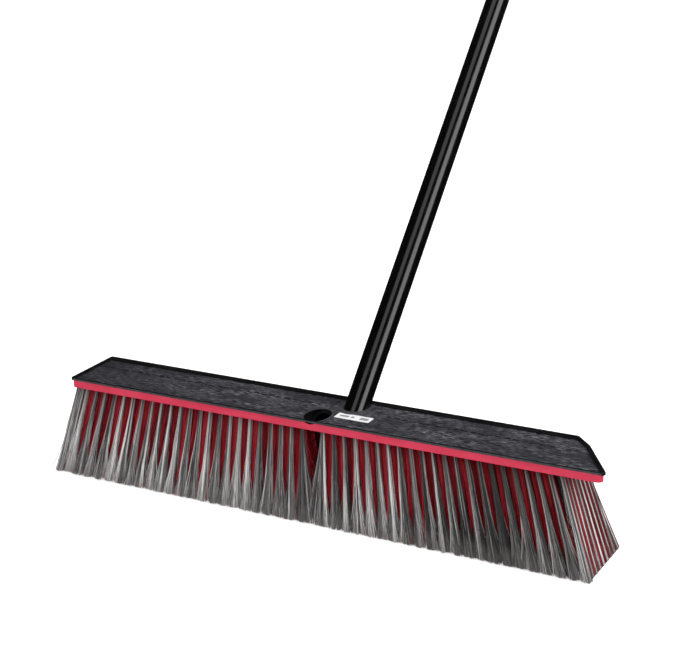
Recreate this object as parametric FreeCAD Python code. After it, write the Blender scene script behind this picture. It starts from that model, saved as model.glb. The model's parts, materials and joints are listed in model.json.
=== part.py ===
import FreeCAD, Part

import math
import os

# Push broom with a two-part block, nine rows of tufts and a threaded handle that leans back.
# Millimetres, +Z up, origin on the floor under the middle of the block, +X along the block,
# +Y towards the handle. The bristle tips stand on z = 0.

Vector = FreeCAD.Vector

# ---- driving dimensions ------------------------------------------------------------------

# block, seen from above
BLOCK_LENGTH = 610.0
BLOCK_DEPTH = 76.0
MITRE_REAR_X = 267.0
MITRE_REAR_Y = 20.0
CORNER_CUT = 18.0

# block, upwards
TRIM_HEIGHT = 102.0
PLATE_HEIGHT = 8.0
PLATE_FLOOR = 4.0
PLATE_WALL = 3.0
PLATE_INSET = 0.8
RIM_HEIGHT = 3.0
RIM_FRONT_WIDTH = 1.6
RIM_REAR_WIDTH = 8.0
RIM_END_WIDTH = 5.0
FACE_HEIGHT = 1.0
CORNER_RADIUS = 3.0
PLATE_RADIUS = 5.0
FIT_GAP = 0.2
POCKET_RADIUS = 2.0
CORE_RADIUS = 1.5

# tufts
ROW_COUNT = 9
ROW_PITCH = 7.75
TUFT_LEFT_X = -299.0
TUFT_RIGHT_X = 258.0
TUFT_STEPS = 46
TUFT_WIDTH = 5.4
MERGE_HEIGHT = 36.0
LEFT_TIP_X = -329.5
RIGHT_TIP_X = 290.5
SIDE_FLARE = 8.0
END_MARGIN = 6.5
TUFT_GAP = 0.4

# sockets
LEAN = math.radians(44.0)
REAR_SOCKET_X = 16.0
FRONT_SOCKET_STEP = 24
SOCKET_Y = 19.0
SEAT_DEPTH = 13.0
THREAD_DEPTH = 36.0
BOSS_DEPTH = 38.5
SEAT_RADIUS = 13.05
THREAD_BORE_RADIUS = 9.6
BOSS_WALL = 1.8

# handle, with heights along its axis counted from the socket's mouth
TUBE_RADIUS = 12.7
TUBE_WALL = 0.9
TUBE_END = 1310.0
SEAT_GAP = 0.3
END_GAP = 0.1
TIP_FLANGE = 2.5
TIP_PLUG_LENGTH = 40.0
PLUG_GAP = 0.12
PLUG_BEVEL = 1.5
THREAD_RADIUS = 9.52
THREAD_ROOT_RADIUS = 8.1
THREAD_PITCH = 5.08
THREAD_LENGTH = 21.0
RIB_FOOT = 3.0
RIB_CREST = 1.5
RIB_SUNK = 0.3
RIB_END_MARGIN = 3.2
RIB_TOP_MARGIN = 1.2

# hang cap
CAP_RADIUS = 12.0
CAP_COLLAR = 5.0
CAP_BEVEL = 2.0
CAP_PLUG_LENGTH = 24.0
TAB_THICKNESS = 12.0
TAB_LENGTH = 30.0
EYE_RADIUS = 10.5
HANG_HOLE_RADIUS = 5.0

# wires, screws and label
WIRE_RADIUS = 0.55
WIRE_LIFT = 0.05
WIRE_END_GAP = 0.5
GROOVE_WIDTH = 1.8
GROOVE_HEIGHT = 1.4
SCREW_XS = (-270.0, -190.0, -110.0, 100.0, 180.0, 246.0)
SCREW_HEAD_RADIUS = 3.5
SCREW_SHANK_RADIUS = 1.6
SCREW_LENGTH = 7.0
SCREW_GAP = 0.1
RECESS_LENGTH = 4.0
RECESS_WIDTH = 0.9
RECESS_DEPTH = 1.2
LABEL_LENGTH = 39.0
LABEL_WIDTH = 13.0
LABEL_THICKNESS = 0.3
LABEL_RADIUS = 1.0
LABEL_CENTRE = (27.0, -9.0)

# ---- levels worked out from them ---------------------------------------------------------

PLATE_BOTTOM = TRIM_HEIGHT
FLOOR_TOP = PLATE_BOTTOM + PLATE_FLOOR
PLATE_TOP = PLATE_BOTTOM + PLATE_HEIGHT
FACE_TOP = PLATE_TOP + FACE_HEIGHT
RIM_TOP = PLATE_TOP + RIM_HEIGHT
HALF_LENGTH = BLOCK_LENGTH / 2
HALF_DEPTH = BLOCK_DEPTH / 2
TUFT_MIDDLE_X = (TUFT_LEFT_X + TUFT_RIGHT_X) / 2
TUFT_PITCH = (TUFT_RIGHT_X - TUFT_LEFT_X) / TUFT_STEPS
FRONT_SOCKET_X = TUFT_LEFT_X + FRONT_SOCKET_STEP * TUFT_PITCH
WALL_INSIDE = PLATE_INSET + PLATE_WALL
TUBE_BORE_RADIUS = TUBE_RADIUS - TUBE_WALL
TUBE_START = -SEAT_DEPTH + SEAT_GAP + TIP_FLANGE

os.makedirs("parts", exist_ok=True)


# ---- helpers -----------------------------------------------------------------------------

def block_outline(insets):
    """Closed face of the block's outline at z = 0, each edge moved inwards by its own inset.

    The edges are front, right mitre, rear corner cut, rear and left.
    """
    corners = [
        Vector(-HALF_LENGTH, -HALF_DEPTH, 0),
        Vector(HALF_LENGTH, -HALF_DEPTH, 0),
        Vector(MITRE_REAR_X, MITRE_REAR_Y, 0),
        Vector(MITRE_REAR_X - CORNER_CUT, HALF_DEPTH, 0),
        Vector(-HALF_LENGTH, HALF_DEPTH, 0),
    ]
    edges = []
    for start, end, inset in zip(corners, corners[1:] + corners[:1], insets):
        along = (end - start).normalize()
        inwards = Vector(-along.y, along.x, 0)
        edges.append((start + inwards * inset, along))
    points = []
    for (before, before_along), (here, along) in zip(edges[-1:] + edges[:-1], edges):
        share = (here - before).cross(along).z / before_along.cross(along).z
        points.append(before + before_along * share)
    return Part.Face(Part.makePolygon(points + points[:1]))


def block_slab(insets, low, high, radius=CORNER_RADIUS):
    """Slab with the block's outline between two heights, with its upright edges rounded."""
    face = block_outline(insets)
    face.translate(Vector(0, 0, low))
    slab = face.extrude(Vector(0, 0, high - low))
    upright = [e for e in slab.Edges if abs(e.tangentAt(e.FirstParameter).z) > 0.99]
    return slab.makeFillet(radius, upright)


def even(inset):
    """The same inset for all five edges of the block's outline."""
    return (inset,) * 5


def box(low, high):
    """Box between two corners."""
    size = [b - a for a, b in zip(low, high)]
    return Part.makeBox(*size, Vector(*low))


class Socket:
    """One angled handle socket: side is +1 for the rear one and -1 for the front one."""

    def __init__(self, x, side):
        self.mouth = Vector(x, side * SOCKET_Y, FACE_TOP)
        self.axis = Vector(0, side * math.sin(LEAN), math.cos(LEAN))

    def at(self, s):
        """Point on the axis, s outwards from the mouth."""
        return self.mouth + self.axis * s

    def rod(self, radius, start, end):
        """Cylinder on the axis between two places."""
        return Part.makeCylinder(radius, end - start, self.at(start), self.axis)

    def boss(self, gap=0.0):
        """Outside of the socket's wall, wider round the seat than round the thread."""
        seat = self.rod(SEAT_RADIUS + BOSS_WALL + gap, -SEAT_DEPTH - BOSS_WALL - gap, SEAT_DEPTH * 2)
        thread = self.rod(THREAD_BORE_RADIUS + BOSS_WALL + gap, -BOSS_DEPTH - gap, 0)
        return seat.fuse(thread)

    def bore(self):
        """Seat for the tube's end and the hole for its thread."""
        seat = self.rod(SEAT_RADIUS, -SEAT_DEPTH, SEAT_DEPTH * 4)
        thread = self.rod(THREAD_BORE_RADIUS, -THREAD_DEPTH, 0)
        return seat.fuse(thread)


def turned(profile, socket):
    """Solid of revolution from (radius, s) points, set on a socket's axis."""
    points = [Vector(r, 0, s) for r, s in profile]
    face = Part.Face(Part.makePolygon(points + points[:1]))
    solid = face.revolve(Vector(0, 0, 0), Vector(0, 0, 1), 360)
    return on_axis(solid, socket)


def on_axis(shape, socket):
    """Shape drawn upwards from z = 0 at the origin, moved onto a socket's axis."""
    turn = FreeCAD.Rotation(Vector(0, 0, 1), socket.axis)
    placed = shape.copy()
    placed.Placement = FreeCAD.Placement(socket.mouth, turn).multiply(placed.Placement)
    return placed


REAR_SOCKET = Socket(REAR_SOCKET_X, 1)
FRONT_SOCKET = Socket(FRONT_SOCKET_X, -1)
SOCKETS = (REAR_SOCKET, FRONT_SOCKET)


def row_y(row):
    """Depth at which a row's tufts leave the plate, row 0 at the front."""
    return (row - (ROW_COUNT - 1) / 2) * ROW_PITCH


def right_limit(y):
    """Furthest a tuft may stand to the right at depth y, inside the mitred end."""
    if y <= MITRE_REAR_Y:
        share = (y + HALF_DEPTH) / (MITRE_REAR_Y + HALF_DEPTH)
        edge = HALF_LENGTH + (MITRE_REAR_X - HALF_LENGTH) * share
    else:
        share = (y - MITRE_REAR_Y) / (HALF_DEPTH - MITRE_REAR_Y)
        edge = MITRE_REAR_X - CORNER_CUT * share
    return min(edge - END_MARGIN, TUFT_RIGHT_X + 0.1)


# ---- tuft rows ---------------------------------------------------------------------------

def fan(x, y, height):
    """The x at a height above the floor of a bristle that leaves the plate at (x, y).

    Bristles lean out towards the row's ends, so that all rows end above the same line.
    """
    if x < TUFT_MIDDLE_X:
        end, tip = TUFT_LEFT_X, LEFT_TIP_X
    else:
        end, tip = right_limit(y), RIGHT_TIP_X
    lean = (x - TUFT_MIDDLE_X) / (end - TUFT_MIDDLE_X) * (tip - end)
    return x + lean * (PLATE_BOTTOM - height) / PLATE_BOTTOM


def splay(y, height):
    """The same for the depth: front and rear rows lean outwards."""
    return y + SIDE_FLARE * y / row_y(ROW_COUNT - 1) * (PLATE_BOTTOM - height) / PLATE_BOTTOM


def meets_socket(x, y):
    """Whether a tuft that leaves the plate at (x, y) would run into a socket's wall."""
    for height in range(int(PLATE_BOTTOM), int(MERGE_HEIGHT), -2):
        spread = (PLATE_BOTTOM - height) / (PLATE_BOTTOM - MERGE_HEIGHT)
        half = TUFT_WIDTH / 2 + (TUFT_PITCH - TUFT_WIDTH) / 2 * spread
        for socket in SOCKETS:
            offset = Vector(fan(x, y, height), splay(y, height), height) - socket.mouth
            s = offset.dot(socket.axis)
            away = (offset - socket.axis * s).Length - half - TUFT_GAP - BOSS_WALL
            if away < SEAT_RADIUS and s > -SEAT_DEPTH - BOSS_WALL - TUFT_GAP:
                return True
            if away < THREAD_BORE_RADIUS and s > -BOSS_DEPTH - TUFT_WIDTH:
                return True
    return False


def meets_screw(x, row):
    """Whether a tuft of the middle row would stand on a screw's head."""
    reach = SCREW_HEAD_RADIUS + TUFT_WIDTH / 2 + TUFT_GAP
    return row == ROW_COUNT // 2 and any(abs(x - screw) < reach for screw in SCREW_XS)


def row_roots(row):
    """The x of each tuft of a row, leaving out those where a socket or a screw is."""
    y = row_y(row)
    shift = TUFT_PITCH / 2 if row % 2 else 0.0
    roots = []
    for step in range(TUFT_STEPS + 1):
        x = TUFT_LEFT_X + step * TUFT_PITCH + shift
        if x <= right_limit(y) and not meets_socket(x, y) and not meets_screw(x, row):
            roots.append(x)
    return roots


def tuft_runs(row):
    """A row's tufts, parted where the sockets leave a space between them."""
    runs = [[]]
    for x in row_roots(row):
        if runs[-1] and any(runs[-1][-1] < socket.mouth.x < x for socket in SOCKETS):
            runs.append([])
        runs[-1].append(x)
    return runs


def merge_point(x, y):
    """Point where two neighbouring tufts run together, at (x, y) on the plate."""
    return (fan(x, y, MERGE_HEIGHT), MERGE_HEIGHT)


def run_profile(run, y, before, after):
    """Outline of a run of tufts that taper from the plate and run together below.

    before and after are the last tuft of the run to the left and the first of the run to the
    right, or None at an end of the row.
    """
    half = TUFT_WIDTH / 2
    profile = []
    if before is None:
        profile.append((fan(run[0] - half, y, 0), 0.0))
    else:
        profile.append((fan((before + run[0]) / 2, y, 0) + TUFT_GAP, 0.0))
        profile.append(merge_point(run[0] - TUFT_PITCH / 2, y))
    for here, following in zip(run, run[1:] + [None]):
        profile.append((here - half, PLATE_BOTTOM))
        profile.append((here + half, PLATE_BOTTOM))
        if following is not None:
            profile.append(merge_point((here + following) / 2, y))
    if after is None:
        profile.append((fan(run[-1] + half, y, 0), 0.0))
    else:
        profile.append(merge_point(run[-1] + TUFT_PITCH / 2, y))
        profile.append((fan((run[-1] + after) / 2, y, 0) - TUFT_GAP, 0.0))
    return profile


def tuft_row(row):
    """One row of tufts, a closed solid on each side of the sockets."""
    half = TUFT_WIDTH / 2
    y = row_y(row)
    runs = tuft_runs(row)
    befores = [None] + [run[-1] for run in runs[:-1]]
    afters = [run[0] for run in runs[1:]] + [None]
    solids = []
    for run, before, after in zip(runs, befores, afters):
        profile = run_profile(run, y, before, after)
        points = [Vector(x, splay(y, z) - half, z) for x, z in profile]
        face = Part.Face(Part.makePolygon(points + points[:1]))
        solids.append(face.extrude(Vector(0, TUFT_WIDTH, 0)))
    return Part.makeCompound(solids)


# ---- block -------------------------------------------------------------------------------

def wire_spans(row):
    """Stretches of a row's wire between the sockets and screws."""
    y = row_y(row)
    blocked = []
    for socket in SOCKETS:
        centre = socket.at((FLOOR_TOP - FACE_TOP) / math.cos(LEAN))
        reach = SEAT_RADIUS + BOSS_WALL + GROOVE_WIDTH
        off = abs(y - centre.y) * math.cos(LEAN)
        if off < reach:
            chord = math.sqrt(reach ** 2 - off ** 2)
            blocked.append((centre.x - chord, centre.x + chord))
    if row == ROW_COUNT // 2:
        blocked += [(x - SCREW_HEAD_RADIUS, x + SCREW_HEAD_RADIUS) for x in SCREW_XS]
    spans = []
    start = TUFT_LEFT_X
    for low, high in sorted(blocked):
        if low > start:
            spans.append((start, low))
        start = max(start, high)
    spans.append((start, right_limit(y)))
    return spans


def row_wire(row):
    """The drawn wire that holds a row's folded tufts, in a groove over the plate's floor."""
    z = FLOOR_TOP + WIRE_RADIUS + WIRE_LIFT
    pieces = []
    for low, high in wire_spans(row):
        start = Vector(low, row_y(row), z)
        pieces.append(Part.makeCylinder(WIRE_RADIUS, high - low, start, Vector(1, 0, 0)))
    return Part.makeCompound(pieces)


def wire_grooves():
    """Grooves in the cover's underside that clear the wires."""
    grooves = []
    for row in range(ROW_COUNT):
        y = row_y(row)
        for low, high in wire_spans(row):
            start = (low - WIRE_END_GAP, y - GROOVE_WIDTH / 2, FLOOR_TOP - 1)
            end = (high + WIRE_END_GAP, y + GROOVE_WIDTH / 2, FLOOR_TOP + GROOVE_HEIGHT)
            grooves.append(box(start, end))
    return grooves


def screw_cutter(gap, depth):
    """Countersunk screw outline for every screw, widened by gap."""
    cutters = []
    head = SCREW_HEAD_RADIUS - SCREW_SHANK_RADIUS
    for x in SCREW_XS:
        base = Vector(x, 0, PLATE_BOTTOM)
        cone = Part.makeCone(SCREW_HEAD_RADIUS + gap, SCREW_SHANK_RADIUS + gap, head, base)
        shank = Part.makeCylinder(SCREW_SHANK_RADIUS + gap, depth, base)
        cutters.append(cone.fuse(shank).removeSplitter())
    return cutters


def block_cover():
    """Moulded cover: raised rim, sunk face, core inside the plate, sockets underneath."""
    rim_widths = (RIM_FRONT_WIDTH, RIM_END_WIDTH, RIM_END_WIDTH, RIM_REAR_WIDTH, RIM_END_WIDTH)
    lip = block_slab(even(0), PLATE_TOP, RIM_TOP)
    face_pocket = block_slab(rim_widths, FACE_TOP, RIM_TOP + 1, radius=POCKET_RADIUS)
    core = block_slab(even(WALL_INSIDE + FIT_GAP), FLOOR_TOP, PLATE_TOP, radius=CORE_RADIUS)
    socket_room = block_slab(even(WALL_INSIDE + FIT_GAP), 0, FACE_TOP, radius=CORE_RADIUS)
    cover = lip.cut(face_pocket).fuse(core)
    for groove in wire_grooves():
        cover = cover.cut(groove)
    for socket in SOCKETS:
        cover = cover.fuse(socket.boss().common(socket_room))
    for socket in SOCKETS:
        cover = cover.cut(socket.bore())
    for cutter in screw_cutter(SCREW_GAP / 2, SCREW_LENGTH + SEAT_GAP):
        cover = cover.cut(cutter)
    return cover.removeSplitter()


def tuft_plate():
    """Shallow tray under the cover, with openings for the sockets and the screws."""
    tray = block_slab(even(PLATE_INSET), PLATE_BOTTOM, PLATE_TOP, radius=PLATE_RADIUS)
    tray = tray.cut(block_slab(even(WALL_INSIDE), FLOOR_TOP, PLATE_TOP + 1, radius=CORE_RADIUS))
    for socket in SOCKETS:
        tray = tray.cut(socket.boss(gap=FIT_GAP))
        tray = tray.cut(socket.rod(SEAT_RADIUS, -SEAT_DEPTH, SEAT_DEPTH * 4))
    for cutter in screw_cutter(SCREW_GAP, PLATE_FLOOR + 1):
        tray = tray.cut(cutter)
    return tray.removeSplitter()


def plate_screws():
    """Countersunk cross-recess screws driven up through the plate into the cover."""
    screws = []
    for x, body in zip(SCREW_XS, screw_cutter(0, SCREW_LENGTH)):
        for along, across in ((RECESS_LENGTH, RECESS_WIDTH), (RECESS_WIDTH, RECESS_LENGTH)):
            low = (x - along / 2, -across / 2, PLATE_BOTTOM - 1)
            high = (x + along / 2, across / 2, PLATE_BOTTOM + RECESS_DEPTH)
            body = body.cut(box(low, high))
        screws.append(body)
    return Part.makeCompound(screws)


def label():
    """Paper sticker on the sunk face, between the sockets."""
    x, y = LABEL_CENTRE
    low = (x - LABEL_LENGTH / 2, y - LABEL_WIDTH / 2, FACE_TOP)
    high = (x + LABEL_LENGTH / 2, y + LABEL_WIDTH / 2, FACE_TOP + LABEL_THICKNESS)
    sticker = box(low, high)
    upright = [e for e in sticker.Edges if abs(e.tangentAt(e.FirstParameter).z) > 0.99]
    return sticker.makeFillet(LABEL_RADIUS, upright)


# ---- handle ------------------------------------------------------------------------------

def handle_tube():
    """Thin steel tube between the threaded fitting and the hang cap."""
    outside = REAR_SOCKET.rod(TUBE_RADIUS, TUBE_START, TUBE_END)
    return outside.cut(REAR_SOCKET.rod(TUBE_BORE_RADIUS, TUBE_START, TUBE_END))


def thread_rib(start, length):
    """One helical rib of the handle's thread, standing on its root cylinder."""
    sunk = THREAD_ROOT_RADIUS - RIB_SUNK
    foot, crest = RIB_FOOT / 2, RIB_CREST / 2
    helix = Part.makeHelix(THREAD_PITCH, length, THREAD_ROOT_RADIUS)
    points = [
        Vector(sunk, 0, -foot), Vector(THREAD_RADIUS, 0, -crest),
        Vector(THREAD_RADIUS, 0, crest), Vector(sunk, 0, foot),
    ]
    profile = Part.makePolygon(points + points[:1])
    rib = Part.Wire(helix).makePipeShell([profile], True, True)
    rib.translate(Vector(0, 0, start))
    return rib


def handle_tip():
    """Threaded end fitting: plug inside the tube, flange under it, thread below."""
    plug = TUBE_BORE_RADIUS - PLUG_GAP
    root = THREAD_ROOT_RADIUS
    flange_low = -SEAT_DEPTH + SEAT_GAP
    flange_high = TUBE_START - END_GAP
    thread_low = flange_low - THREAD_LENGTH
    profile = [
        (0, thread_low), (root - PLUG_BEVEL, thread_low), (root, thread_low + PLUG_BEVEL),
        (root, flange_low), (TUBE_RADIUS, flange_low), (TUBE_RADIUS, flange_high),
        (plug, flange_high), (plug, TIP_PLUG_LENGTH - PLUG_BEVEL),
        (plug - PLUG_BEVEL, TIP_PLUG_LENGTH), (0, TIP_PLUG_LENGTH),
    ]
    core = turned(profile, REAR_SOCKET)
    rib_start = thread_low + RIB_END_MARGIN
    rib = thread_rib(rib_start, flange_low - RIB_TOP_MARGIN - rib_start)
    return core.fuse(on_axis(rib, REAR_SOCKET))


def hang_cap():
    """Plug and collar at the top of the tube with a flat tab that has a hang hole."""
    plug = TUBE_BORE_RADIUS - PLUG_GAP
    low = TUBE_END - CAP_PLUG_LENGTH
    base = TUBE_END + END_GAP
    top = base + CAP_COLLAR + CAP_BEVEL
    eye = base + CAP_COLLAR + TAB_LENGTH - EYE_RADIUS
    profile = [
        (0, low), (plug - PLUG_BEVEL, low), (plug, low + PLUG_BEVEL), (plug, base),
        (CAP_RADIUS, base), (CAP_RADIUS, top - CAP_BEVEL), (CAP_RADIUS - CAP_BEVEL, top), (0, top),
    ]
    half = TAB_THICKNESS / 2
    web = box((-half, -EYE_RADIUS, base + CAP_COLLAR - 1), (half, EYE_RADIUS, eye))
    centre = REAR_SOCKET.at(eye) - Vector(half, 0, 0)
    ring = Part.makeCylinder(EYE_RADIUS, TAB_THICKNESS, centre, Vector(1, 0, 0))
    hole = Part.makeCylinder(HANG_HOLE_RADIUS, TAB_THICKNESS, centre, Vector(1, 0, 0))
    cap = turned(profile, REAR_SOCKET).fuse(ring).fuse(on_axis(web, REAR_SOCKET))
    return cap.cut(hole).removeSplitter()


# ---- write every node --------------------------------------------------------------------

nodes = {
    "block_cover": block_cover(),
    "tuft_plate": tuft_plate(),
    "plate_screws": plate_screws(),
    "label": label(),
    "handle_tube": handle_tube(),
    "handle_tip": handle_tip(),
    "hang_cap": hang_cap(),
}
for row in range(ROW_COUNT):
    nodes[f"tuft_row_{row + 1}"] = tuft_row(row)
    nodes[f"row_wire_{row + 1}"] = row_wire(row)

for name, shape in nodes.items():
    shape.exportStep(f"parts/{name}.step")
    solids = len(shape.Solids)
    print(f"{name}: {solids} solids, {shape.Volume / 1000:.2f} cm3, valid {shape.isValid()}")
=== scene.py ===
import json
import math

import bmesh
import bpy
import numpy as np
from mathutils import Matrix, Vector

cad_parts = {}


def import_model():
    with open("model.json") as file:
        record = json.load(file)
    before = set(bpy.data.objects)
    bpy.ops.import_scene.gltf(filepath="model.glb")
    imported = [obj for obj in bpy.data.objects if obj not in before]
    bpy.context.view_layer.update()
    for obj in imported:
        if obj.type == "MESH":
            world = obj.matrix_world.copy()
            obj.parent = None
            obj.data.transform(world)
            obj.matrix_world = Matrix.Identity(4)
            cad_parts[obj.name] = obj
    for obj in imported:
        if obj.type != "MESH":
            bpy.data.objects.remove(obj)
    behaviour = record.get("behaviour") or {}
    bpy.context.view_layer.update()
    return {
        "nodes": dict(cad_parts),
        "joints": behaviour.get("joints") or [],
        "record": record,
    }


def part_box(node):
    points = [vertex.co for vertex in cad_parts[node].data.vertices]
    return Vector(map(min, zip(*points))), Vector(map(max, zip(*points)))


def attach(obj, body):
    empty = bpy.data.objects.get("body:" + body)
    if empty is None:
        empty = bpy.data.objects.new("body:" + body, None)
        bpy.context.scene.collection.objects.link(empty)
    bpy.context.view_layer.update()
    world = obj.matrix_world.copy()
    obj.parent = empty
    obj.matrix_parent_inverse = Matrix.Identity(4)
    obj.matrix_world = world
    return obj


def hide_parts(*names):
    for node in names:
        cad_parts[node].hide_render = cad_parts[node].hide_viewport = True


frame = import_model()

# ---- dimensions, in metres ----------------------------------------------------------------

MM = 0.001

LABEL_LOW, LABEL_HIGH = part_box("label")
PLATE_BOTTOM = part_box("tuft_plate")[0].z
RIM_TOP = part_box("block_cover")[1].z
FACE_TOP = LABEL_LOW.z
PLATE_TOP = FACE_TOP - 1.0 * MM

SEAT_RADIUS = 13.05 * MM
SEAT_DEPTH = 13.0 * MM
THREAD_RADIUS = 9.6 * MM
THREAD_DEPTH = 36.0 * MM
BOSS_DEPTH = 38.5 * MM
BOSS_WALL = 1.8 * MM


class Socket:
    """One angled handle socket: its mouth's centre on the face and its axis outwards."""

    def __init__(self, point, axis):
        self.axis = Vector(axis).normalized()
        point = Vector(point)
        self.mouth = point + self.axis * ((FACE_TOP - point.z) / self.axis.z)
        self.x, self.y = self.mouth.x, self.mouth.y
        self.side = 1 if self.axis.y > 0 else -1

    def at(self, s):
        return self.mouth + self.axis * s


MOUNTS = {m["name"]: m for m in frame["record"]["mounts"]}
TURN = next(j for j in frame["joints"] if j["name"] == "handle_turn")
SPARE = MOUNTS["spare_handle_socket"]
FRONT_SOCKET = Socket(SPARE["pos_m"], SPARE["axis"])
REAR_SOCKET = Socket(TURN["pos_m"], TURN["axis"])
SOCKETS = (REAR_SOCKET, FRONT_SOCKET)
LEAN = math.acos(REAR_SOCKET.axis.z)


# ---- node materials -----------------------------------------------------------------------

class Shader:
    """A material's node tree, with short calls for the nodes used here."""

    def __init__(self, name, **constants):
        self.material = bpy.data.materials.new(name)
        self.material.use_nodes = True
        self.tree = self.material.node_tree
        self.bsdf = self.tree.nodes["Principled BSDF"]
        for socket, value in constants.items():
            self.bsdf.inputs[socket.replace("_", " ").title().replace("Ior", "IOR")].default_value = value
        self.coords = self.tree.nodes.new("ShaderNodeTexCoord").outputs["Object"]

    def link(self, source, target):
        self.tree.links.new(source, target)

    def stretched(self, scale):
        """Object coordinates scaled by (x, y, z)."""
        node = self.tree.nodes.new("ShaderNodeMapping")
        node.inputs["Scale"].default_value = scale
        self.link(self.coords, node.inputs["Vector"])
        return node.outputs["Vector"]

    def noise(self, scale, stretch=(1, 1, 1), detail=3.0, rough=0.5, distortion=0.0):
        node = self.tree.nodes.new("ShaderNodeTexNoise")
        node.inputs["Scale"].default_value = scale
        node.inputs["Detail"].default_value = detail
        node.inputs["Roughness"].default_value = rough
        node.inputs["Distortion"].default_value = distortion
        self.link(self.stretched(stretch), node.inputs["Vector"])
        return node.outputs["Fac"]

    def attribute(self, name):
        node = self.tree.nodes.new("ShaderNodeAttribute")
        node.attribute_name = name
        return node.outputs["Fac"]

    def axis(self, name):
        node = self.tree.nodes.new("ShaderNodeSeparateXYZ")
        self.link(self.coords, node.inputs["Vector"])
        return node.outputs[name]

    def ramp(self, fac, stops):
        node = self.tree.nodes.new("ShaderNodeValToRGB")
        elements = node.color_ramp.elements
        while len(elements) < len(stops):
            elements.new(0.5)
        for element, (place, colour) in zip(elements, stops):
            element.position = place
            element.color = (*colour, 1) if len(colour) == 3 else colour
        self.link(fac, node.inputs["Fac"])
        return node.outputs["Color"]

    def spread(self, fac, low, high, to_low, to_high):
        """Number mapped from one range to another, kept inside it."""
        node = self.tree.nodes.new("ShaderNodeMapRange")
        for socket, value in zip(("From Min", "From Max", "To Min", "To Max"), (low, high, to_low, to_high)):
            node.inputs[socket].default_value = value
        self.link(fac, node.inputs["Value"])
        return node.outputs["Result"]

    def math(self, operation, a, b):
        node = self.tree.nodes.new("ShaderNodeMath")
        node.operation = operation
        for socket, value in zip(node.inputs, (a, b)):
            if isinstance(value, (int, float)):
                socket.default_value = value
            else:
                self.link(value, socket)
        return node.outputs["Value"]

    def mix(self, fac, a, b, blend="MIX"):
        node = self.tree.nodes.new("ShaderNodeMix")
        node.data_type = "RGBA"
        node.blend_type = blend
        factor = next(i for i in node.inputs if i.name == "Factor" and i.type == "VALUE")
        first, second = [i for i in node.inputs if i.type == "RGBA"]
        for socket, value in ((factor, fac), (first, a), (second, b)):
            if isinstance(value, (int, float)):
                socket.default_value = value
            elif isinstance(value, tuple):
                socket.default_value = (*value, 1)
            else:
                self.link(value, socket)
        return next(o for o in node.outputs if o.type == "RGBA")

    def bump(self, height, distance, strength=1.0):
        node = self.tree.nodes.new("ShaderNodeBump")
        node.inputs["Distance"].default_value = distance
        node.inputs["Strength"].default_value = strength
        self.link(height, node.inputs["Height"])
        self.link(node.outputs["Normal"], self.bsdf.inputs["Normal"])

    def colour(self, source):
        self.link(source, self.bsdf.inputs["Base Color"])

    def roughness(self, source):
        self.link(source, self.bsdf.inputs["Roughness"])


def rim_material():
    """Glossy black moulding with faint flow marks and dulled spots."""
    s = Shader("rim_black", specular_ior_level=0.45)
    s.colour(s.ramp(s.noise(22, (1, 4, 4)), [(0.3, (0.0025, 0.0025, 0.0028)), (0.75, (0.007, 0.007, 0.008))]))
    s.roughness(s.spread(s.noise(60, detail=5), 0.3, 0.75, 0.24, 0.42))
    s.bump(s.noise(900), 0.00005, 0.35)
    return s.material


def face_material():
    """Charcoal moulding with a shallow grain that runs along the block, and painted shade darkening its left
    end.
    """
    s = Shader("face_charcoal", specular_ior_level=0.35)
    grain = s.noise(900, (0.14, 1.0, 0.4), detail=3, rough=0.55, distortion=0.2)
    patches = s.noise(48, (0.4, 1.4, 1.0), detail=3)
    fine = s.noise(1500, (0.25, 1.0, 1.0), detail=2)
    dark, middle, light = (0.001, 0.001, 0.002), (0.034, 0.034, 0.042), (0.165, 0.165, 0.182)
    base = s.ramp(grain, [(0.38, dark), (0.50, middle), (0.62, light)])
    patchy = s.mix(s.spread(patches, 0.40, 0.62, 0.0, 0.70), base, (0.012, 0.012, 0.016))
    # painted shade: the face darkens towards its left end
    s.colour(s.mix(s.spread(s.axis("X"), -0.26, -0.10, 0.55, 0.0), patchy, (0.010, 0.010, 0.013)))
    s.roughness(s.spread(grain, 0.3, 0.7, 0.72, 0.5))
    s.bump(s.math("ADD", grain, s.math("MULTIPLY", fine, 0.35)), 0.0005, 0.7)
    return s.material


def centre_material():
    """Smoother dark grey moulding round the sockets."""
    s = Shader("centre_grey", specular_ior_level=0.4)
    s.colour(s.ramp(s.noise(160, detail=4), [(0.3, (0.034, 0.034, 0.040)), (0.7, (0.060, 0.060, 0.068))]))
    s.roughness(s.spread(s.noise(240, detail=3), 0.3, 0.7, 0.4, 0.58))
    s.bump(s.noise(1200), 0.00006, 0.5)
    return s.material


def plate_material():
    """Bright red gloss plastic with slight unevenness in tone and shine."""
    s = Shader("plate_red", specular_ior_level=0.5, coat_weight=0.25, coat_roughness=0.2)
    uneven = s.noise(26, (1, 3, 3), detail=4)
    s.colour(s.ramp(uneven, [(0.3, (0.50, 0.016, 0.050)), (0.7, (0.60, 0.028, 0.075))]))
    s.roughness(s.spread(s.noise(150, detail=4), 0.3, 0.7, 0.3, 0.42))
    s.bump(s.noise(500), 0.00005, 0.4)
    return s.material


def tube_material():
    """Glossy black enamel on drawn tube, with faint lengthwise drawing marks."""
    s = Shader("tube_enamel", specular_ior_level=0.6, coat_weight=0.6, coat_roughness=0.06)
    s.colour(s.ramp(s.noise(14), [(0.35, (0.0008, 0.0008, 0.0009)), (0.7, (0.0020, 0.0020, 0.0022))]))
    s.roughness(s.spread(s.noise(90, detail=5), 0.35, 0.7, 0.13, 0.24))
    s.bump(s.noise(320, (3.0, 0.25, 0.25), detail=2), 0.00004, 0.3)
    return s.material


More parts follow.
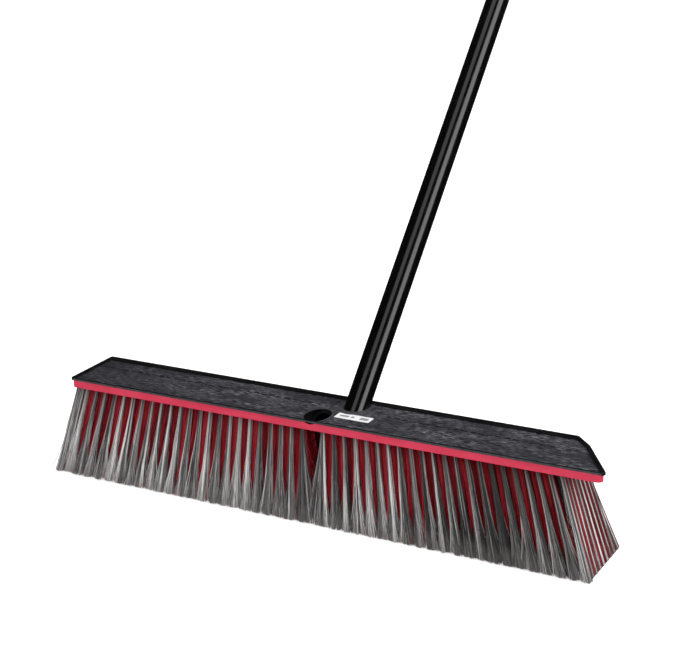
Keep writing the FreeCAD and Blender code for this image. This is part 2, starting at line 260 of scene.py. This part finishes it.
def fitting_material():
    """Black moulded plastic of the tip and the hang cap."""
    s = Shader("fitting_black", specular_ior_level=0.4)
    s.colour(s.ramp(s.noise(70, detail=4), [(0.3, (0.008, 0.008, 0.009)), (0.7, (0.020, 0.020, 0.022))]))
    s.roughness(s.spread(s.noise(200, detail=4), 0.3, 0.7, 0.38, 0.55))
    s.bump(s.noise(1400), 0.00008, 0.6)
    return s.material


def steel_material(name, tint, scale):
    """Zinc-bright steel with fine scratches."""
    s = Shader(name, metallic=1.0)
    s.colour(s.ramp(s.noise(scale, detail=5), [(0.3, tuple(0.7 * c for c in tint)), (0.7, tint)]))
    s.roughness(s.spread(s.noise(scale * 3, (1, 6, 6), detail=4), 0.3, 0.7, 0.25, 0.45))
    s.bump(s.noise(scale * 8, (1, 8, 8)), 0.00003, 0.5)
    return s.material


def paper_material():
    """White sticker with three plain grey bars printed on it."""
    s = Shader("label_paper", specular_ior_level=0.3)
    paper = s.ramp(s.noise(900, detail=4), [(0.3, (0.66, 0.66, 0.68)), (0.7, (0.82, 0.82, 0.83))])
    x, y = s.axis("X"), s.axis("Y")
    middle_y = (LABEL_LOW.y + LABEL_HIGH.y) / 2
    inked = None
    for start, end, half_height in ((0.10, 0.36, 0.17), (0.42, 0.52, 0.17), (0.68, 0.92, 0.24)):
        low = LABEL_LOW.x + start * (LABEL_HIGH.x - LABEL_LOW.x)
        high = LABEL_LOW.x + end * (LABEL_HIGH.x - LABEL_LOW.x)
        half = half_height * (LABEL_HIGH.y - LABEL_LOW.y)
        across = s.math("COMPARE", x, (low + high) / 2)
        across.node.inputs[2].default_value = (high - low) / 2
        along = s.math("COMPARE", y, middle_y)
        along.node.inputs[2].default_value = half
        bar = s.math("MULTIPLY", across, along)
        inked = bar if inked is None else s.math("MAXIMUM", inked, bar)
    s.colour(s.mix(s.math("MULTIPLY", inked, 0.8), paper, (0.16, 0.16, 0.17)))
    s.roughness(s.spread(s.noise(1500), 0.3, 0.7, 0.5, 0.7))
    s.bump(s.noise(2500), 0.00003, 0.4)
    return s.material


def bristle_material(name, dark, middle, light, tip):
    """Drawn plastic filament whose tone differs from one to the next, with painted shade and highlight
    carried in that tone, and which pales at the cut tip; painted shade darkens it towards the plate.
    """
    s = Shader(name, specular_ior_level=0.5, roughness=0.42)
    tone_and_painted_shade = s.attribute("tone_and_painted_shade")
    streak = s.noise(700, (1, 1, 0.05), detail=2)
    mixed = s.math("ADD", s.math("MULTIPLY", tone_and_painted_shade, 0.95), s.math("MULTIPLY", streak, 0.1))
    base = s.ramp(mixed, [(0.12, dark), (0.50, middle), (0.88, light)])
    cut = s.mix(s.spread(s.axis("Z"), 0.0, 0.022, 0.30, 0.0), base, tip)
    # painted shade: darker towards the plate, where the block shades the roots
    root = s.spread(s.axis("Z"), PLATE_BOTTOM - 0.055, PLATE_BOTTOM, 0.0, 0.55)
    s.colour(s.mix(root, cut, dark))
    s.bump(s.noise(2600, (1, 1, 0.1)), 0.00003, 0.5)
    return s.material


GREY = bristle_material(
    "bristle_grey", (0.035, 0.034, 0.034), (0.21, 0.20, 0.20), (0.86, 0.84, 0.83), (0.44, 0.42, 0.41))
RED = bristle_material(
    "bristle_red", (0.17, 0.001, 0.004), (0.60, 0.004, 0.020), (0.88, 0.05, 0.09), (0.45, 0.05, 0.07))


# ---- mesh helpers -------------------------------------------------------------------------

def new_object(name, mesh, materials):
    piece = bpy.data.objects.new(name, mesh)
    bpy.context.scene.collection.objects.link(piece)
    for material in materials:
        mesh.materials.append(material)
    return piece


def smooth_by_angle(mesh, degrees=35):
    for polygon in mesh.polygons:
        polygon.use_smooth = True
    mesh.set_sharp_from_angle(angle=math.radians(degrees))


def dress(node, material):
    """Gives a CAD node's object its procedural material."""
    piece = frame["nodes"][node]
    for place in piece.material_slots:
        place.material = material
    return piece


# ---- bristles -----------------------------------------------------------------------------

OUTLINE = [Vector(c) * MM for c in ((-305, -38), (305, -38), (267, 20), (249, 38), (-305, 38))]
TUFT_ROWS = sorted(n for n in frame["nodes"] if n.startswith("tuft_row_"))

RINGS = np.array([0.0, 0.22, 0.45, 0.68, 0.86, 1.0])
SIDES = 3
TRIANGLES_PER_FILAMENT = (len(RINGS) - 1) * SIDES * 2 + 2
TRIANGLES_PER_PIECE = 190000
FILAMENTS_PER_PIECE = TRIANGLES_PER_PIECE // TRIANGLES_PER_FILAMENT

PER_TUFT = {1: 380, 2: 380, 3: 110, 4: 120, 5: 90, 6: 120, 7: 110, 8: 380, 9: 380}
PER_END_TUFT = 420
CLUMPS = 16

END_MARGIN = 6.5 * MM
LEFT_ROOT, RIGHT_ROOT = -299.0 * MM, 258.1 * MM
LEFT_TIP, RIGHT_TIP = -329.5 * MM, 290.5 * MM
MIDDLE = (LEFT_ROOT + RIGHT_ROOT) / 2

# half widths and depths of a tuft at the plate and at the floor; a thin tuft is one at the
# right end behind the front row, which closes up with its neighbours to a striped end face
TUFT_HALF = 1.8 * MM
RED_HALF_PITCHES = 0.46
FIRST_HALF_PITCHES = 0.62
THIN_HALF = 0.8 * MM
TUFT_DEPTH, THIN_DEPTH = 2.2 * MM, 3.9 * MM
TIP_DEPTH, THIN_TIP_DEPTH = 4.2 * MM, 4.7 * MM
FIRST_TIP_HALF, LAST_TIP_HALF, THIN_TIP_HALF = 2.6 * MM, 2.4 * MM, 1.0 * MM
# the middle share of a thin tuft's depth that takes the other colour, and the narrower middle share that gets
# a painted highlight while the rest gets painted shade
THIN_STRIPE, THIN_PAINTED_HIGHLIGHT_SHARE = 0.62, 0.27

# how filaments part from their tuft, as shares of all or of the gap to the next tuft
LOOSE_SHARE, STRAY_SHARE, FORWARD_SHARE = 0.28, 0.035, 0.75
LOOSE_SPREAD, GREY_SPREAD, RED_SPREAD = 0.78, 0.38, 0.6
WIDE_GAP_PITCHES, WIDE_GAP_SPREAD = 1.4, 1.35
CLUMP_PULL = 0.78
WIDE_BEND, LOOSE_BEND, USUAL_BEND, DEPTH_BEND = 1.3, 2.9, 1.9, 1.6


def right_end(y):
    """Furthest a tuft stands to the right at depth y, inside the slanting end."""
    ends = []
    for a, b in zip(OUTLINE[1:], OUTLINE[2:4]):
        if a.y <= y <= b.y:
            ends.append(a.x + (b.x - a.x) * (y - a.y) / (b.y - a.y))
    return min(ends[0] - END_MARGIN, RIGHT_ROOT)


class Row:
    """One row of tufts: its number, and where its CAD solid's tufts stand."""

    def __init__(self, node):
        self.number = int(node.rsplit("_", 1)[1])
        self.grey = self.number % 2 == 1
        mesh = frame["nodes"][node].data
        co = np.zeros(len(mesh.vertices) * 3)
        mesh.vertices.foreach_get("co", co)
        co = co.reshape(-1, 3)
        top = co[co[:, 2] > co[:, 2].max() - 1e-5]
        foot = co[co[:, 2] < co[:, 2].min() + 1e-5]
        edges = np.unique(np.round(top[:, 0], 5))
        self.xs = (edges[0::2] + edges[1::2]) / 2
        self.pitch = float(np.min(np.diff(self.xs)))
        self.y_top = (top[:, 1].min() + top[:, 1].max()) / 2
        self.splay = (foot[:, 1].min() + foot[:, 1].max()) / 2 - self.y_top
        self.xs[-1] = right_end(self.y_top)


def lean(x, right_root):
    """How far the tips of a tuft at x stand from its root, along the row."""
    if x < MIDDLE:
        return (x - MIDDLE) / (LEFT_ROOT - MIDDLE) * (LEFT_TIP - LEFT_ROOT)
    return (x - MIDDLE) / (right_root - MIDDLE) * (RIGHT_TIP - right_root)


def painted_shade_by_place(x, last):
    """Painted shade in a tuft's tone by its place: darker towards the right, where the light falls off."""
    if last:
        return -0.05
    return -0.05 * min(1.0, max(0.0, (x + 0.10) / 0.08)) - 0.27 * min(1.0, max(0.0, (x - 0.09) / 0.08))


def tuft(rng, row, i):
    """The filaments of a row's tuft number i, as an array for each of their properties."""
    x, grey, pitch = row.xs[i], row.grey, row.pitch
    first, last = i == 0, i == len(row.xs) - 1
    thin = last and row.number > 1
    count = PER_END_TUFT if i < 2 or i >= len(row.xs) - 2 else PER_TUFT[row.number]
    gap_left = pitch if first else min(x - row.xs[i - 1], 4 * pitch)
    gap_right = pitch if last else min(row.xs[i + 1] - x, 4 * pitch)

    # u and v are the place in the tuft's round section, along and across the row
    angle = rng.uniform(0, 2 * math.pi, count)
    radius = np.sqrt(rng.uniform(0, 1, count))
    u, v = radius * np.cos(angle), radius * np.sin(angle)
    half = np.full(count, TUFT_HALF)
    if not grey:
        sides = np.where(u < 0, 0 if first else 1, 0 if last else 1)
        half = sides * RED_HALF_PITCHES * pitch + TUFT_HALF * 0.2
    if first:
        half = np.where(u > 0, FIRST_HALF_PITCHES * pitch, half)
    if thin:
        half = np.where(u > 0, THIN_HALF, half)
    root_y = row.y_top + v * (THIN_DEPTH if thin else TUFT_DEPTH)
    root = np.stack([x + u * half, root_y, np.full(count, PLATE_BOTTOM + 0.6 * MM)], 1)

    loose = rng.uniform(0, 1, count) < LOOSE_SHARE
    gap = np.where(u < 0, gap_left, gap_right)
    span = gap * np.where(loose, LOOSE_SPREAD, GREY_SPREAD if grey else RED_SPREAD)
    wide = gap > WIDE_GAP_PITCHES * pitch
    span[wide & (grey | loose)] *= WIDE_GAP_SPREAD
    if last:
        span = np.where(u > 0, THIN_TIP_HALF if thin else LAST_TIP_HALF, span)
    if first:
        span = np.where(u < 0, FIRST_TIP_HALF, span)

    # towards the tips the filaments gather in clumps
    centre_u, centre_v = rng.uniform(-0.95, 0.95, CLUMPS), rng.uniform(-0.95, 0.95, CLUMPS)
    nearest = np.argmin((u[:, None] - centre_u) ** 2 + 0.5 * (v[:, None] - centre_v) ** 2, 1)
    pull = 0.0 if thin else CLUMP_PULL
    tip_u = u * (1 - pull) + centre_u[nearest] * pull + rng.normal(0, 0.02 if thin else 0.07, count)
    tip_v = v * (1 - pull) + centre_v[nearest] * pull + rng.normal(0, 0.02 if thin else 0.10, count)
    # painted light in the tone: a thin end tuft gets a painted highlight down its middle and painted shade at
    # its sides; every other tuft gets the painted shade of its place
    if thin:
        light = np.where(np.abs(v) < THIN_PAINTED_HIGHLIGHT_SHARE, 0.30, -0.45)
    else:
        light = np.full(count, painted_shade_by_place(x, last))
    leant = lean(x, row.xs[-1])
    tip_x = x + leant + tip_u * span + rng.normal(0, (0.15 if thin else 0.5) * MM, count)
    tip_y = row.y_top + row.splay + tip_v * (THIN_TIP_DEPTH if thin else TIP_DEPTH)
    if not grey and not last:
        forward = loose & (rng.uniform(0, 1, count) < FORWARD_SHARE)
        outwards = 1 if row.y_top > 0 else -1
        tip_y[forward] += outwards * rng.uniform(2, 9, forward.sum()) * MM
    tip_z = 0.35 * MM + np.abs(rng.normal(0, 0.6 * MM, count))
    stray = rng.uniform(0, 1, count) < (0.0 if last else STRAY_SHARE)
    tip_x[stray] += rng.normal(0, 4.5 * MM, stray.sum())
    return {
        "root": root,
        "tip": np.stack([tip_x, tip_y, tip_z], 1),
        "tuft": np.full(count, i),
        "clump": nearest,
        "bend": np.column_stack([tip_x - leant - root[:, 0], tip_y - row.splay - root[:, 1]]),
        "power": np.where(wide, WIDE_BEND, np.where(loose | stray, LOOSE_BEND, USUAL_BEND)),
        "light": light,
        "other": (np.abs(v) < THIN_STRIPE) != grey if thin else np.zeros(count, bool),
    }


def row_filaments(row):
    """A whole row's filaments, with each one's tone (random, plus the painted shade and highlight of its
    tuft), thickness and slight waviness.
    """
    rng = np.random.default_rng(100 + row.number)
    tufts = [tuft(rng, row, i) for i in range(len(row.xs))]
    f = {key: np.concatenate([one[key] for one in tufts]) for key in tufts[0]}
    count = len(f["root"])
    clump_tone = rng.beta(0.5, 0.5, (len(tufts), CLUMPS))[f["tuft"], f["clump"]]
    # random tone plus the painted shade and highlight carried in light
    tone_and_painted_shade = 0.52 * rng.beta(0.45, 0.55, count) + 0.52 * clump_tone + f["light"]
    f["tone_and_painted_shade"] = np.clip(tone_and_painted_shade, 0, 1)
    f["radius"] = rng.uniform(0.20, 0.40, count) * MM
    f["waves"] = rng.uniform(0.8, 1.8, count)
    f["phase"] = rng.uniform(0, 2 * math.pi, count)
    f["size"] = np.abs(rng.normal(0, 0.55 * MM, count))
    f["size"][f["tuft"] == len(tufts) - 1] *= 0.3
    return f


def sway(f):
    """Shift of each filament's rings from the straight line: its wave and its bend."""
    phase = f["phase"][:, None]
    swing = np.sin(2 * math.pi * f["waves"][:, None] * RINGS + phase)
    swing -= np.sin(phase)
    amount = f["size"][:, None] * RINGS
    shift = np.zeros((*swing.shape, 3))
    shift[..., 0] = swing * amount
    shift[..., 1] = swing * amount * 0.6
    shift[..., 0] += f["bend"][:, :1] * (RINGS ** f["power"][:, None] - RINGS)
    shift[..., 1] += f["bend"][:, 1:] * (RINGS ** DEPTH_BEND - RINGS)
    return shift


def filament_triangles():
    """Vertex numbers of one filament's triangles: the rings' sides and both ends."""
    faces = []
    for ring in range(len(RINGS) - 1):
        for side in range(SIDES):
            a, b = ring * SIDES + side, ring * SIDES + (side + 1) % SIDES
            faces.append((a, b, b + SIDES))
            faces.append((a, b + SIDES, a + SIDES))
    last = (len(RINGS) - 1) * SIDES
    faces.append((last, last + 1, last + 2))
    faces.append((2, 1, 0))
    return np.array(faces)


def filament_mesh(name, f):
    """Thin tapered three-sided tubes, one for each filament, with its tone and painted shade as an attribute.
    """
    count = len(f["root"])
    t = RINGS[None, :, None]
    path = f["root"][:, None, :] * (1 - t) + f["tip"][:, None, :] * t + sway(f)
    turn = np.random.default_rng(count).uniform(0, 2 * math.pi, count)
    angle = turn[:, None] + np.arange(SIDES) * 2 * math.pi / SIDES
    girth = f["radius"][:, None] * (1 - 0.25 * RINGS[None, :])
    offset = np.zeros((count, len(RINGS), SIDES, 3))
    offset[..., 0] = girth[:, :, None] * np.cos(angle)[:, None, :]
    offset[..., 1] = girth[:, :, None] * np.sin(angle)[:, None, :]
    co = path[:, :, None, :] + offset
    per = len(RINGS) * SIDES
    base = np.arange(count) * per
    triangles = (base[:, None, None] + filament_triangles()[None]).reshape(-1, 3)
    mesh = bpy.data.meshes.new(name)
    mesh.vertices.add(count * per)
    mesh.vertices.foreach_set("co", co.reshape(-1).astype(np.float32))
    mesh.loops.add(triangles.size)
    mesh.loops.foreach_set("vertex_index", triangles.reshape(-1).astype(np.int32))
    mesh.polygons.add(len(triangles))
    mesh.polygons.foreach_set("loop_start", (np.arange(len(triangles)) * 3).astype(np.int32))
    mesh.polygons.foreach_set("use_smooth", np.ones(len(triangles), bool))
    mesh.update()
    attribute = mesh.attributes.new("tone_and_painted_shade", "FLOAT", "POINT")
    attribute.data.foreach_set("value", np.repeat(f["tone_and_painted_shade"], per).astype(np.float32))
    return mesh


def tuft_row(node):
    """Every filament of one row, in as many pieces as the size limit asks for."""
    row = Row(node)
    filaments = row_filaments(row)
    batches = []
    for mask, is_grey in ((~filaments["other"], row.grey), (filaments["other"], not row.grey)):
        chosen = np.flatnonzero(mask)
        pieces = math.ceil(len(chosen) / FILAMENTS_PER_PIECE)
        if pieces:
            batches += [(part, is_grey) for part in np.array_split(chosen, pieces)]
    for number, (chosen, is_grey) in enumerate(batches):
        name = f"bristles_row_{row.number}_{number + 1}"
        mesh = filament_mesh(name, {key: values[chosen] for key, values in filaments.items()})
        piece = new_object(name, mesh, [GREY if is_grey else RED])
        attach(piece, "head")
        if number == 0:
            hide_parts(node)


for node in TUFT_ROWS:
    tuft_row(node)


# ---- block cover --------------------------------------------------------------------------

RIM_WIDTHS = (1.6, 5.0, 5.0, 8.0, 5.0)
CORE_INSET = 4.0
CORNER_STEPS = 6
ROUND_SEGMENTS = 72
REAR_COLLAR, SPARE_COLLAR, COLLAR_EDGE = 3.6, 1.8, 4.4
DASH_LENGTH, DASH_WIDTH, DASH_STEP = 7.0, 1.4, 9.2
SEAM_X = FRONT_SOCKET.x
LEAN_TANGENT = math.tan(LEAN)


def outline(insets, radius):
    """The block's outline, each edge moved inwards by its inset and every corner rounded, in mm."""
    count = len(OUTLINE)
    lines = []
    for i in range(count):
        along = (OUTLINE[(i + 1) % count] - OUTLINE[i]).normalized()
        lines.append((OUTLINE[i] + Vector((-along.y, along.x)) * insets[i] * MM, along))
    points = []
    for i in range(count):
        (before, d1), (here, d2) = lines[i - 1], lines[i]
        corner = before + d1 * ((here - before).cross(d2) / d1.cross(d2))
        turn = math.acos(max(-1.0, min(1.0, d1.dot(d2))))
        cut = radius * MM * math.tan(turn / 2)
        centre = corner - d1 * cut + Vector((-d1.y, d1.x)) * radius * MM
        start = math.atan2(-d1.x, d1.y)
        for step in range(CORNER_STEPS + 1):
            angle = start + turn * step / CORNER_STEPS
            points.append(centre + Vector((math.cos(angle), math.sin(angle))) * radius * MM)
    return points


def loft(name, loops):
    """Closed solid through loops of (points, z), capped at both ends."""
    mesh = bpy.data.meshes.new(name)
    count = len(loops[0][0])
    vertices = [(p[0], p[1], z if len(p) == 2 else p[2]) for points, z in loops for p in points]
    faces = [tuple(reversed(range(count)))]
    for ring in range(len(loops) - 1):
        for i in range(count):
            a, b = ring * count + i, ring * count + (i + 1) % count
            faces.append((a, b, b + count, a + count))
    faces.append(tuple(range((len(loops) - 1) * count, len(loops) * count)))
    mesh.from_pydata(vertices, [], faces)
    mesh.update()
    return new_object(name, mesh, [])


def even(inset):
    return (inset,) * len(OUTLINE)


def inner(offset):
    """Insets that stop short of the rim's inner edge by offset."""
    return tuple(w - offset for w in RIM_WIDTHS)


def cylinder_on(socket, radius, start, end):
    """Closed cylinder on a socket's axis between two places along it."""
    e1 = Vector((1, 0, 0))
    e2 = socket.axis.cross(e1)
    loops = []
    for s in (start, end):
        centre = socket.at(s)
        points = []
        for i in range(ROUND_SEGMENTS):
            angle = 2 * math.pi * i / ROUND_SEGMENTS
            points.append(centre + (e1 * math.cos(angle) + e2 * math.sin(angle)) * radius)
        loops.append((points, 0.0))
    return loft("cylinder", loops)


def collar_on(socket, width):
    """Low raised collar round a socket's mouth, with a rounded outer edge."""
    loops = []
    for rise, shrink in ((-0.6, 0.0), (0.55, 0.0), (0.85, 0.12), (1.0, 0.4), (1.05, 0.9)):
        radius = SEAT_RADIUS + (width - shrink) * MM
        y = socket.y + rise * MM * LEAN_TANGENT * socket.side
        points = []
        for i in range(ROUND_SEGMENTS):
            angle = 2 * math.pi * i / ROUND_SEGMENTS
            along = radius * math.sin(angle) / math.cos(LEAN)
            points.append((socket.x + radius * math.cos(angle), y + along))
        loops.append((points, FACE_TOP + rise * MM))
    return loft("collar", loops)


def boolean(piece, other, operation):
    """Applies one exact boolean to piece and removes the other object."""
    modifier = piece.modifiers.new("cut", "BOOLEAN")
    modifier.operation = operation
    modifier.solver = "EXACT"
    modifier.object = other
    evaluated = piece.evaluated_get(bpy.context.evaluated_depsgraph_get())
    mesh = bpy.data.meshes.new_from_object(evaluated)
    piece.modifiers.clear()
    piece.data = mesh
    bpy.data.objects.remove(other)


def boxes(name, ranges):
    """One mesh of separate boxes, each given by its two corners."""
    mesh = bpy.data.meshes.new(name)
    shape = bmesh.new()
    for low, high in ranges:
        made = bmesh.ops.create_cube(shape, size=1.0)["verts"]
        for vertex in made:
            vertex.co = Vector((l + (c + 0.5) * (h - l) for l, h, c in zip(low, high, vertex.co)))
    shape.to_mesh(mesh)
    shape.free()
    return new_object(name, mesh, [])


def score_marks():
    """Dashed score line along each half of the face and the seam behind the spare socket."""
    deep, over = FACE_TOP - 0.9 * MM, FACE_TOP + 1 * MM
    ranges = []
    for start, end, y in ((-296, -22, 10.5), (64, 256, 6.0)):
        x = start
        while x < end:
            low = (x * MM, (y - DASH_WIDTH / 2) * MM, deep)
            ranges.append((low, ((x + DASH_LENGTH) * MM, (y + DASH_WIDTH / 2) * MM, over)))
            x += DASH_STEP
    ranges.append(((SEAM_X - 0.6 * MM, 2.5 * MM, deep), (SEAM_X + 0.6 * MM, 29.5 * MM, over)))
    return boxes("marks", ranges)


def block_cover():
    """Moulded cover with a rounded rim, a sunk face and two angled sockets."""
    core, top = PLATE_BOTTOM + 4 * MM, RIM_TOP
    loops = [
        (outline(even(CORE_INSET), 1.5), core),
        (outline(even(CORE_INSET), 1.5), PLATE_TOP),
        (outline(even(0.35), 2.7), PLATE_TOP),
        (outline(even(0.0), 3.0), PLATE_TOP + 0.35 * MM),
        (outline(even(0.0), 3.0), top - 0.8 * MM),
        (outline(even(0.12), 3.0), top - 0.35 * MM),
        (outline(even(0.38), 2.9), top - 0.08 * MM),
        (outline(even(0.7), 2.8), top),
        (outline(inner(0.72), 2.2), top),
        (outline(inner(0.4), 2.1), top - 0.08 * MM),
        (outline(inner(0.12), 2.1), top - 0.35 * MM),
        (outline(inner(0.0), 2.0), top - 0.8 * MM),
        (outline(inner(0.0), 2.0), FACE_TOP + 0.3 * MM),
        (outline(inner(-0.3), 1.9), FACE_TOP),
    ]
    cover = loft("cover", loops)
    for socket in SOCKETS:
        boss = cylinder_on(socket, SEAT_RADIUS + BOSS_WALL, -SEAT_DEPTH - BOSS_WALL, 2 * SEAT_DEPTH)
        boolean(boss, cylinder_on(socket, THREAD_RADIUS + BOSS_WALL, -BOSS_DEPTH, 0.0), "UNION")
        room = loft("room", [
            (outline(even(CORE_INSET), 1.5), 0.0),
            (outline(even(CORE_INSET), 1.5), FACE_TOP - 0.2 * MM),
        ])
        boolean(boss, room, "INTERSECT")
        boolean(cover, boss, "UNION")
        collar = collar_on(socket, REAR_COLLAR if socket.side > 0 else SPARE_COLLAR)
        limit = loft("limit", [
            (outline(even(0.2), 2.8), FACE_TOP - 1 * MM),
            (outline(even(0.2), 2.8), RIM_TOP - 0.05 * MM),
        ])
        boolean(collar, limit, "INTERSECT")
        boolean(cover, collar, "UNION")
    for socket in SOCKETS:
        boolean(cover, cylinder_on(socket, SEAT_RADIUS, -SEAT_DEPTH, 4 * SEAT_DEPTH), "DIFFERENCE")
        boolean(cover, cylinder_on(socket, THREAD_RADIUS, -THREAD_DEPTH, 0.0), "DIFFERENCE")
    boolean(cover, score_marks(), "DIFFERENCE")
    mesh = cover.data
    mesh.materials.clear()
    for material in (rim_material(), face_material(), centre_material()):
        mesh.materials.append(material)
    inside = outline(inner(0.2), 2.0)
    for polygon in mesh.polygons:
        x, y, z = polygon.center
        on_face = FACE_TOP - 0.4 * MM < z < FACE_TOP + 0.25 * MM and within(inside, x, y)
        on_collar = z > FACE_TOP + 0.2 * MM and any(near_mouth(each, x, y) for each in SOCKETS)
        polygon.material_index = 2 if on_collar else 1 if on_face else 0
    smooth_by_angle(mesh, 30)
    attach(cover, "head")
    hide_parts("block_cover")


def within(points, x, y):
    """Whether (x, y) is inside a closed outline."""
    inside = False
    for a, b in zip(points, points[1:] + points[:1]):
        if (a.y > y) != (b.y > y) and x < a.x + (y - a.y) / (b.y - a.y) * (b.x - a.x):
            inside = not inside
    return inside


def near_mouth(socket, x, y):
    """Whether (x, y) on the face lies within a collar's reach of a socket's mouth."""
    reach = SEAT_RADIUS + COLLAR_EDGE * MM
    across = (x - socket.x) / reach
    along = (y - socket.y) * math.cos(LEAN) / reach
    return across ** 2 + along ** 2 < 1


block_cover()

# ---- CAD pieces that keep their shape -----------------------------------------------------

dress("tuft_plate", plate_material())
dress("plate_screws", steel_material("screw_zinc", (0.62, 0.61, 0.58), 300))
dress("label", paper_material())
dress("handle_tube", tube_material())
fitting = fitting_material()
dress("handle_tip", fitting)
dress("hang_cap", fitting)
wire = steel_material("wire_steel", (0.5, 0.5, 0.5), 500)
for row in range(1, len(TUFT_ROWS) + 1):
    dress(f"row_wire_{row}", wire)


# ---- floor, light and camera --------------------------------------------------------------

FLOOR_HALF, DOME_RADIUS = 40.0, 38.0
DOME_GLOW, SKY_GLOW = 1.0, 0.012
REAR_GLOW, REAR_GLOW_TURN = 0.7, -119.0
TUBE_MIDDLE = REAR_SOCKET.at(0.55)
ACROSS = Vector((1, 0, 0))
HANDLE_FRONT = ACROSS.cross(REAR_SOCKET.axis)
REFLECTED_SHARE = 0.349
SOFTBOX_DISTANCE, SOFTBOX_LENGTH = 2.2, 3.2


def floor():
    mesh = bpy.data.meshes.new("floor")
    half = FLOOR_HALF
    corners = [(-half, -half, 0), (half, -half, 0), (half, half, 0), (-half, half, 0)]
    mesh.from_pydata(corners, [], [(0, 1, 2, 3)])
    s = Shader("floor_pale", roughness=0.9, specular_ior_level=0.1, emission_strength=0.5)
    s.bsdf.inputs["Emission Color"].default_value = (1, 1, 1, 1)
    s.colour(s.ramp(s.noise(3), [(0.3, (0.80, 0.80, 0.80)), (0.7, (0.82, 0.82, 0.82))]))
    piece = new_object("floor", mesh, [s.material])
    piece.location.z = -0.3 * MM
    piece.visible_glossy = False


def backdrop():
    """White dome round everything, which lights softly from all sides but isn't reflected."""
    mesh = bpy.data.meshes.new("backdrop")
    shape = bmesh.new()
    bmesh.ops.create_uvsphere(shape, u_segments=48, v_segments=24, radius=DOME_RADIUS)
    bmesh.ops.reverse_faces(shape, faces=shape.faces)
    shape.to_mesh(mesh)
    shape.free()
    s = Shader("backdrop_white", roughness=1.0, emission_strength=DOME_GLOW)
    s.bsdf.inputs["Base Color"].default_value = (0, 0, 0, 1)
    s.bsdf.inputs["Emission Color"].default_value = (1, 1, 1, 1)
    piece = new_object("backdrop", mesh, [s.material])
    piece.visible_glossy = False


def softbox(name, turn, spread, radiance):
    """Long soft light parallel to the handle, at an angle round it from +X towards the front.

    It stands where the camera sees its reflection all along the handle, spread degrees wide.
    """
    ring = math.sqrt(1 - REFLECTED_SHARE ** 2)
    angle = math.radians(turn)
    way = REAR_SOCKET.axis * REFLECTED_SHARE
    way += (ACROSS * math.cos(angle) + HANDLE_FRONT * math.sin(angle)) * ring
    width = 2 * SOFTBOX_DISTANCE * ring * math.tan(math.radians(spread / 2))
    light = bpy.data.lights.new(name, "AREA")
    light.shape = "RECTANGLE"
    light.size = width
    light.size_y = SOFTBOX_LENGTH
    light.energy = radiance * math.pi * width * SOFTBOX_LENGTH
    lamp = bpy.data.objects.new(name, light)
    inwards = -way
    along = (REAR_SOCKET.axis - inwards * REAR_SOCKET.axis.dot(inwards)).normalized()
    turned = Matrix((along.cross(-inwards), along, -inwards)).transposed().to_4x4()
    lamp.matrix_world = Matrix.Translation(TUBE_MIDDLE + way * SOFTBOX_DISTANCE) @ turned
    bpy.context.scene.collection.objects.link(lamp)


def world():
    """Dim surroundings, which is what the gloss reflects, brighter behind and under the handle."""
    sky = bpy.data.worlds.new("studio")
    sky.use_nodes = True
    tree = sky.node_tree
    background = tree.nodes["Background"]
    background.inputs["Color"].default_value = (1, 1, 1, 1)
    direction = tree.nodes.new("ShaderNodeTexCoord").outputs["Generated"]

    def along(way):
        dot = tree.nodes.new("ShaderNodeVectorMath")
        dot.operation = "DOT_PRODUCT"
        dot.inputs[1].default_value = way
        tree.links.new(direction, dot.inputs[0])
        return dot.outputs["Value"]

    def combine(operation, first, second):
        node = tree.nodes.new("ShaderNodeMath")
        node.operation = operation
        for socket, value in zip(node.inputs, (first, second)):
            if isinstance(value, float):
                socket.default_value = value
            else:
                tree.links.new(value, socket)
        return node.outputs["Value"]

    def fade(value, full, none):
        node = tree.nodes.new("ShaderNodeMapRange")
        node.interpolation_type = "SMOOTHSTEP"
        for socket, number in (("From Min", full), ("From Max", none), ("To Min", 1.0), ("To Max", 0.0)):
            node.inputs[socket].default_value = number
        tree.links.new(value, node.inputs["Value"])
        return node.outputs["Result"]

    turn = combine("ARCTAN2", along(HANDLE_FRONT), along(ACROSS))
    off = combine("ABSOLUTE", combine("SUBTRACT", turn, math.radians(REAR_GLOW_TURN)), 0.0)
    patch = combine("MULTIPLY", fade(off, 0.12, 0.30), fade(along(REAR_SOCKET.axis), -0.35, -0.05))
    strength = combine("ADD", combine("MULTIPLY", patch, REAR_GLOW), SKY_GLOW)
    tree.links.new(strength, background.inputs["Strength"])
    bpy.context.scene.world = sky


def camera():
    """Camera at the photograph's angle: yaw, elevation and roll about the block's middle.

    The block's middle stands a little left of the picture's middle and below it.
    """
    yaw, elevation, roll = math.radians(29.0), math.radians(18.555), math.radians(-1.485)
    distance, aside, above = 1.700, -0.004839, -0.091698
    back = Vector((math.sin(yaw), -math.cos(yaw), 0)) * math.cos(elevation)
    back.z = math.sin(elevation)
    level = Vector((math.cos(yaw), math.sin(yaw), 0))
    upright = level.cross(-back)
    right = level * math.cos(roll) + upright * math.sin(roll)
    up = upright * math.cos(roll) - level * math.sin(roll)
    data = bpy.data.cameras.new("camera")
    data.sensor_width = 36.0
    data.sensor_fit = "HORIZONTAL"
    data.lens = 88.4837
    data.clip_end = 200
    lens = bpy.data.objects.new("camera", data)
    turn = Matrix((right, up, back)).transposed().to_4x4()
    place = back * distance - right * aside - up * above + Vector((0, 0, PLATE_BOTTOM))
    lens.matrix_world = Matrix.Translation(place) @ turn
    bpy.context.scene.collection.objects.link(lens)
    bpy.context.scene.camera = lens


floor()
backdrop()
world()
camera()
softbox("overhead_box", 90.0, 33.0, 0.7)
softbox("right_box", 25.0, 38.0, 2.2)
bpy.context.scene.view_settings.view_transform = "Standard"
